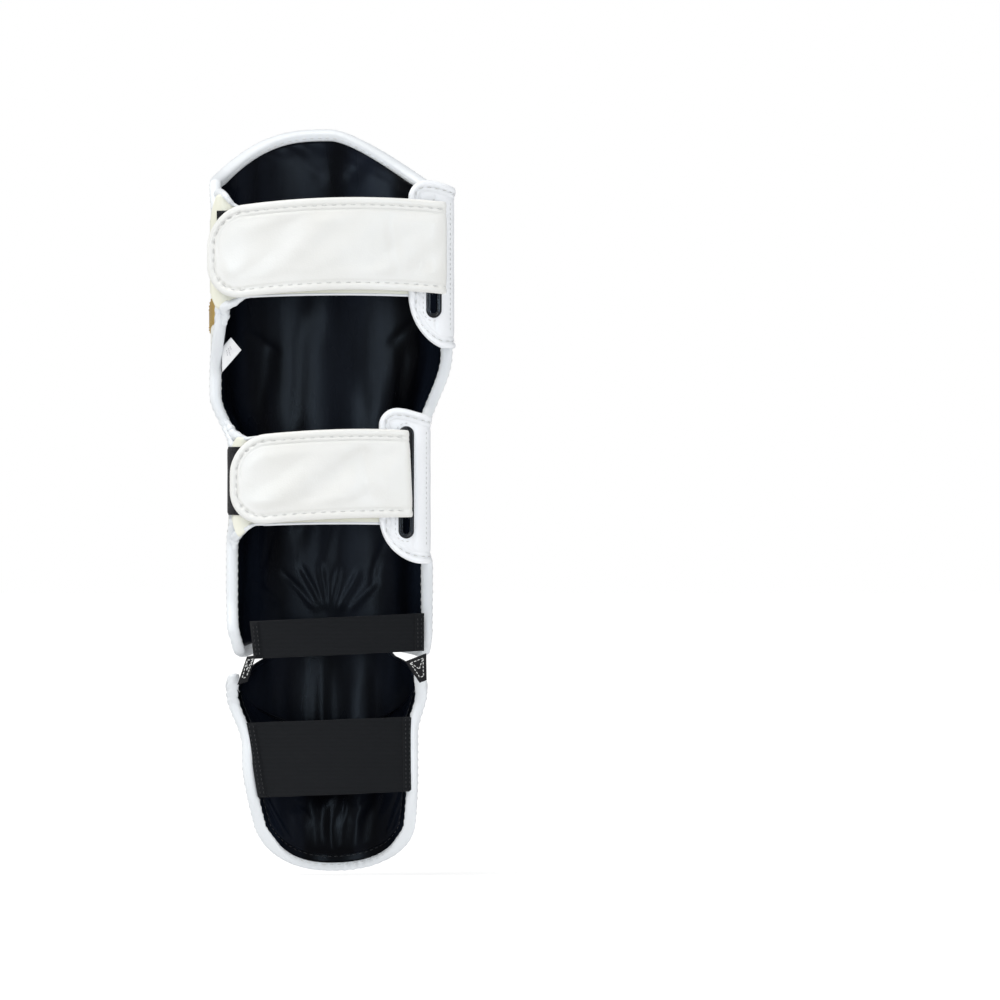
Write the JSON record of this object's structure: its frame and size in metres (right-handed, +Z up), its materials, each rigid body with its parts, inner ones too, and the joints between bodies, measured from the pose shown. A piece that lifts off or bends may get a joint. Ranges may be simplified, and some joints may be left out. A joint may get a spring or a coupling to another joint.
{
  "type": "shin and instep guard",
  "caption": "Padded kickboxing shin guard with hinged instep, two slot straps with hook-and-loop flaps, and elastics at ankle and foot; the left piece of a mirrored pair",
  "frame": {"origin": "on the leg's axis at the level of the ankle hinge", "axes": "+Z up the shin, +Y to the front of the leg, +X to the right as seen from the calf side, where the straps are"},
  "size_m": [0.1785, 0.1247, 0.538],
  "materials": {
    "cover": "white padded synthetic leather, fine grain, satin",
    "binding": "white synthetic leather binding, folded and stitched",
    "strap": "cream-white synthetic leather strap",
    "lining": "black satin lining with a soft sheen",
    "foam": "closed-cell foam core",
    "loop_tape": "black loop tape",
    "hook_tape": "black hook tape",
    "slot_ring": "black rubber slot ring",
    "elastic": "black woven elastic",
    "webbing": "black webbing with pale box stitching",
    "label": "blank white woven label",
    "accent": "gold synthetic leather"
  },
  "bodies": {
    "shin": {"shin_lining": "lining", "shin_foam_core": "foam", "shin_cover": "cover", "shin_edge_binding": "binding", "upper_ridge_pad": "cover", "middle_ridge_pad": "cover", "lower_ridge_pad": "cover", "left_side_pad": "cover", "right_side_pad": "cover", "gold_accents": "accent", "knee_pad": "cover", "upper_side_loop": "loop_tape", "lower_side_loop": "loop_tape", "upper_strap_base": "strap", "upper_loop_patch": "loop_tape", "lower_strap_base": "strap", "lower_loop_patch": "loop_tape", "upper_slot_ear": "cover", "upper_slot_ring": "slot_ring", "lower_slot_ear": "cover", "lower_slot_ring": "slot_ring", "ankle_elastic": "elastic", "ankle_elastic_ends": "elastic", "care_label": "label"},
    "upper_flap": {"upper_flap_panel": "strap", "upper_flap_binding": "binding", "upper_hook_patch": "hook_tape"},
    "lower_flap": {"lower_flap_panel": "strap", "lower_flap_binding": "binding", "lower_hook_patch": "hook_tape"},
    "instep": {"instep_lining": "lining", "instep_foam_core": "foam", "instep_cover": "cover", "instep_edge_binding": "binding", "instep_cushion": "lining", "ankle_flex_panel": "lining", "instep_upper_pad": "cover", "instep_middle_pad": "cover", "instep_toe_pad": "cover", "instep_elastic": "elastic", "instep_elastic_ends": "elastic", "left_ankle_tab": "webbing", "right_ankle_tab": "webbing"}
  },
  "joints": [
    {"name": "ankle_flex", "type": "hinge", "parent": "shin", "child": "instep", "pos_m": [0, -0.012, 0], "axis": [1, 0, 0], "range_deg": [0, 30]},
    {"name": "upper_flap_peel", "type": "hinge", "parent": "shin", "child": "upper_flap", "pos_m": [0.07218, -0.04045, 0.3005], "axis": [0, 0, 1], "range_deg": [0, 120]},
    {"name": "lower_flap_peel", "type": "hinge", "parent": "shin", "child": "lower_flap", "pos_m": [0.05224, -0.04506, 0.135], "axis": [0, 0, 1], "range_deg": [0, 120]}
  ]
}
